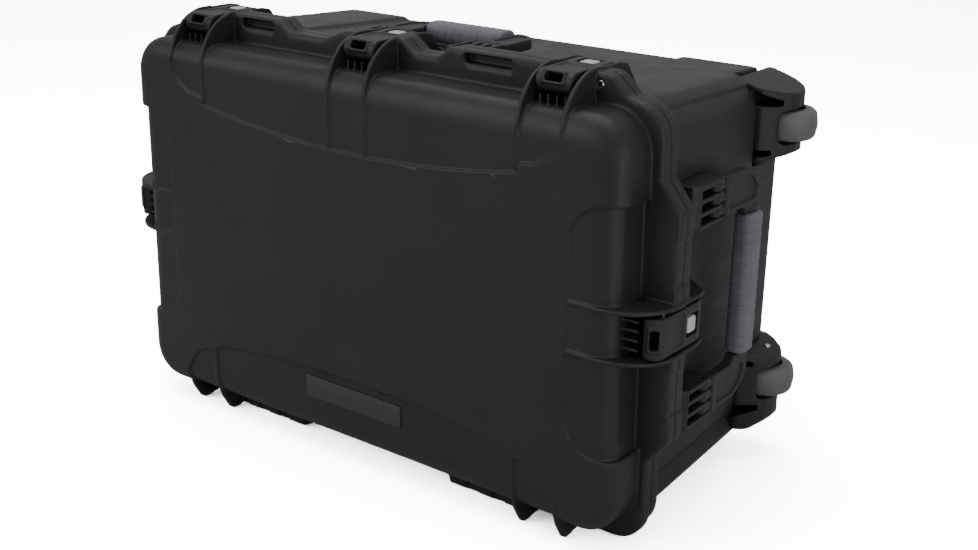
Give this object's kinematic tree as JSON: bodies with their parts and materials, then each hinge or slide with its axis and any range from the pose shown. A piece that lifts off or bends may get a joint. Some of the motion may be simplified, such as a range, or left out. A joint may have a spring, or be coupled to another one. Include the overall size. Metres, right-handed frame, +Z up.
{
  "type": "hard equipment case",
  "caption": "Large wheeled hard-shell transport case with a hinged lid, five lever latches, fold-down carry handles, corner wheels and a telescopic pull handle, standing on its hinge side.",
  "frame": {"origin": "centre of the bounding box's bottom, on the ground under the standing case", "axes": "+X along the length towards the wheel end, -Y out of the lid's face, +Z up, away from the hinge side"},
  "size_m": [0.818, 0.401, 0.5285],
  "materials": {
    "black_plastic": "textured black",
    "grip_rubber": "soft matte grey",
    "tyre": "satin dark grey",
    "steel": "plain",
    "aluminium": "anodised",
    "gasket": "matte",
    "button_grey": "light grey",
    "label": "blank"
  },
  "bodies": {
    "base": {"base_shell": "black_plastic", "base_rim": "black_plastic", "relief_valve": "black_plastic", "hinge_pin_left": "steel", "hinge_pin_right": "steel", "handle_comb_top_a": "black_plastic", "handle_comb_top_b": "black_plastic", "handle_comb_right_a": "black_plastic", "handle_comb_right_b": "black_plastic", "handle_comb_left_a": "black_plastic", "handle_comb_left_b": "black_plastic", "handle_pin_top_a": "steel", "handle_pin_top_b": "steel", "handle_pin_right_a": "steel", "handle_pin_right_b": "steel", "handle_pin_left_a": "steel", "handle_pin_left_b": "steel", "wheel_housing_upper": "black_plastic", "axle_upper": "steel", "pull_outer_tube_upper": "aluminium", "wheel_housing_lower": "black_plastic", "axle_lower": "steel", "pull_outer_tube_lower": "aluminium", "pull_tube_cover": "black_plastic"},
    "lid": {"lid_shell": "black_plastic", "lid_gasket": "gasket", "blank_label": "label", "eyelet_left": "steel", "eyelet_right": "steel", "latch_pin_top_left": "steel", "latch_pin_top_middle": "steel", "latch_pin_top_right": "steel", "latch_pin_end_right": "steel", "latch_pin_end_left": "steel"},
    "lever_top_left": {"latch_top_left": "black_plastic"},
    "button_top_left": {"lock_button_top_left": "button_grey"},
    "lever_top_middle": {"latch_top_middle": "black_plastic"},
    "button_top_middle": {"lock_button_top_middle": "button_grey"},
    "lever_top_right": {"latch_top_right": "black_plastic"},
    "button_top_right": {"lock_button_top_right": "button_grey"},
    "lever_end_right": {"latch_end_right": "black_plastic"},
    "button_end_right": {"lock_button_end_right": "button_grey"},
    "lever_end_left": {"latch_end_left": "black_plastic"},
    "button_end_left": {"lock_button_end_left": "button_grey"},
    "handle_unit_top": {"handle_top": "black_plastic", "handle_grip_top": "grip_rubber"},
    "handle_unit_right": {"handle_right": "black_plastic", "handle_grip_right": "grip_rubber"},
    "handle_unit_left": {"handle_left": "black_plastic", "handle_grip_left": "grip_rubber"},
    "wheel_unit_upper": {"tyre_upper": "tyre", "wheel_hub_upper": "black_plastic"},
    "wheel_unit_lower": {"tyre_lower": "tyre", "wheel_hub_lower": "black_plastic"},
    "pull_stage_mid": {"pull_mid_tube_upper": "aluminium", "pull_mid_tube_lower": "aluminium"},
    "pull_stage_inner": {"pull_inner_tube_upper": "aluminium", "pull_inner_tube_lower": "aluminium", "pull_grip": "grip_rubber"},
    "pull_button": {"pull_release_button": "button_grey"}
  },
  "joints": [
    {"name": "lid_hinge", "type": "hinge", "parent": "base", "child": "lid", "pos_m": [0, -0.127, 0.01], "axis": [1, 0, 0], "range_deg": [0, 100]},
    {"name": "lever_top_left_pivot", "type": "hinge", "parent": "lid", "child": "lever_top_left", "pos_m": [-0.267, -0.156, 0.5175], "axis": [1, 0, 0], "range_deg": [0, 90]},
    {"name": "button_top_left_press", "type": "slide", "parent": "lever_top_left", "child": "button_top_left", "axis": [0, 0, -1], "range_m": [0, 0.0025], "stiffness_N_per_m": 400, "springref_m": -0.002},
    {"name": "lever_top_middle_pivot", "type": "hinge", "parent": "lid", "child": "lever_top_middle", "pos_m": [0, -0.156, 0.5175], "axis": [1, 0, 0], "range_deg": [0, 90]},
    {"name": "button_top_middle_press", "type": "slide", "parent": "lever_top_middle", "child": "button_top_middle", "axis": [0, 0, -1], "range_m": [0, 0.0025], "stiffness_N_per_m": 400, "springref_m": -0.002},
    {"name": "lever_top_right_pivot", "type": "hinge", "parent": "lid", "child": "lever_top_right", "pos_m": [0.267, -0.156, 0.5175], "axis": [1, 0, 0], "range_deg": [0, 90]},
    {"name": "button_top_right_press", "type": "slide", "parent": "lever_top_right", "child": "button_top_right", "axis": [0, 0, -1], "range_m": [0, 0.0025], "stiffness_N_per_m": 400, "springref_m": -0.002},
    {"name": "lever_end_right_pivot", "type": "hinge", "parent": "lid", "child": "lever_end_right", "pos_m": [0.398, -0.156, 0.2655], "axis": [0, 0, -1], "range_deg": [0, 90]},
    {"name": "button_end_right_press", "type": "slide", "parent": "lever_end_right", "child": "button_end_right", "axis": [-1, 0, 0], "range_m": [0, 0.0025], "stiffness_N_per_m": 400, "springref_m": -0.002},
    {"name": "lever_end_left_pivot", "type": "hinge", "parent": "lid", "child": "lever_end_left", "pos_m": [-0.398, -0.156, 0.2655], "axis": [0, 0, 1], "range_deg": [0, 90]},
    {"name": "button_end_left_press", "type": "slide", "parent": "lever_end_left", "child": "button_end_left", "axis": [1, 0, 0], "range_m": [0, 0.0025], "stiffness_N_per_m": 400, "springref_m": -0.002},
    {"name": "handle_top_swing", "type": "hinge", "parent": "base", "child": "handle_unit_top", "pos_m": [0, -0.038, 0.5045], "axis": [1, 0, 0], "range_deg": [0, 92], "stiffness_Nm_per_rad": 0.4, "springref_deg": -22.92},
    {"name": "handle_right_swing", "type": "hinge", "parent": "base", "child": "handle_unit_right", "pos_m": [0.385, -0.038, 0.2655], "axis": [0, 0, -1], "range_deg": [0, 92], "stiffness_Nm_per_rad": 0.4, "springref_deg": -22.92},
    {"name": "handle_left_swing", "type": "hinge", "parent": "base", "child": "handle_unit_left", "pos_m": [-0.385, -0.038, 0.2655], "axis": [0, 0, 1], "range_deg": [0, 92], "stiffness_Nm_per_rad": 0.4, "springref_deg": -22.92},
    {"name": "wheel_upper_spin", "type": "hinge", "parent": "base", "child": "wheel_unit_upper", "pos_m": [0.368, 0.165, 0.4275], "axis": [0, 0, 1], "continuous": true},
    {"name": "wheel_lower_spin", "type": "hinge", "parent": "base", "child": "wheel_unit_lower", "pos_m": [0.368, 0.165, 0.1035], "axis": [0, 0, 1], "continuous": true},
    {"name": "pull_mid_slide", "type": "slide", "parent": "base", "child": "pull_stage_mid", "axis": [-1, 0, 0], "range_m": [0, 0.33]},
    {"name": "pull_inner_slide", "type": "slide", "parent": "pull_stage_mid", "child": "pull_stage_inner", "axis": [-1, 0, 0], "range_m": [0, 0.33]},
    {"name": "pull_button_press", "type": "slide", "parent": "pull_stage_inner", "child": "pull_button", "axis": [1, 0, 0], "range_m": [0, 0.004], "stiffness_N_per_m": 600, "springref_m": -0.003}
  ]
}
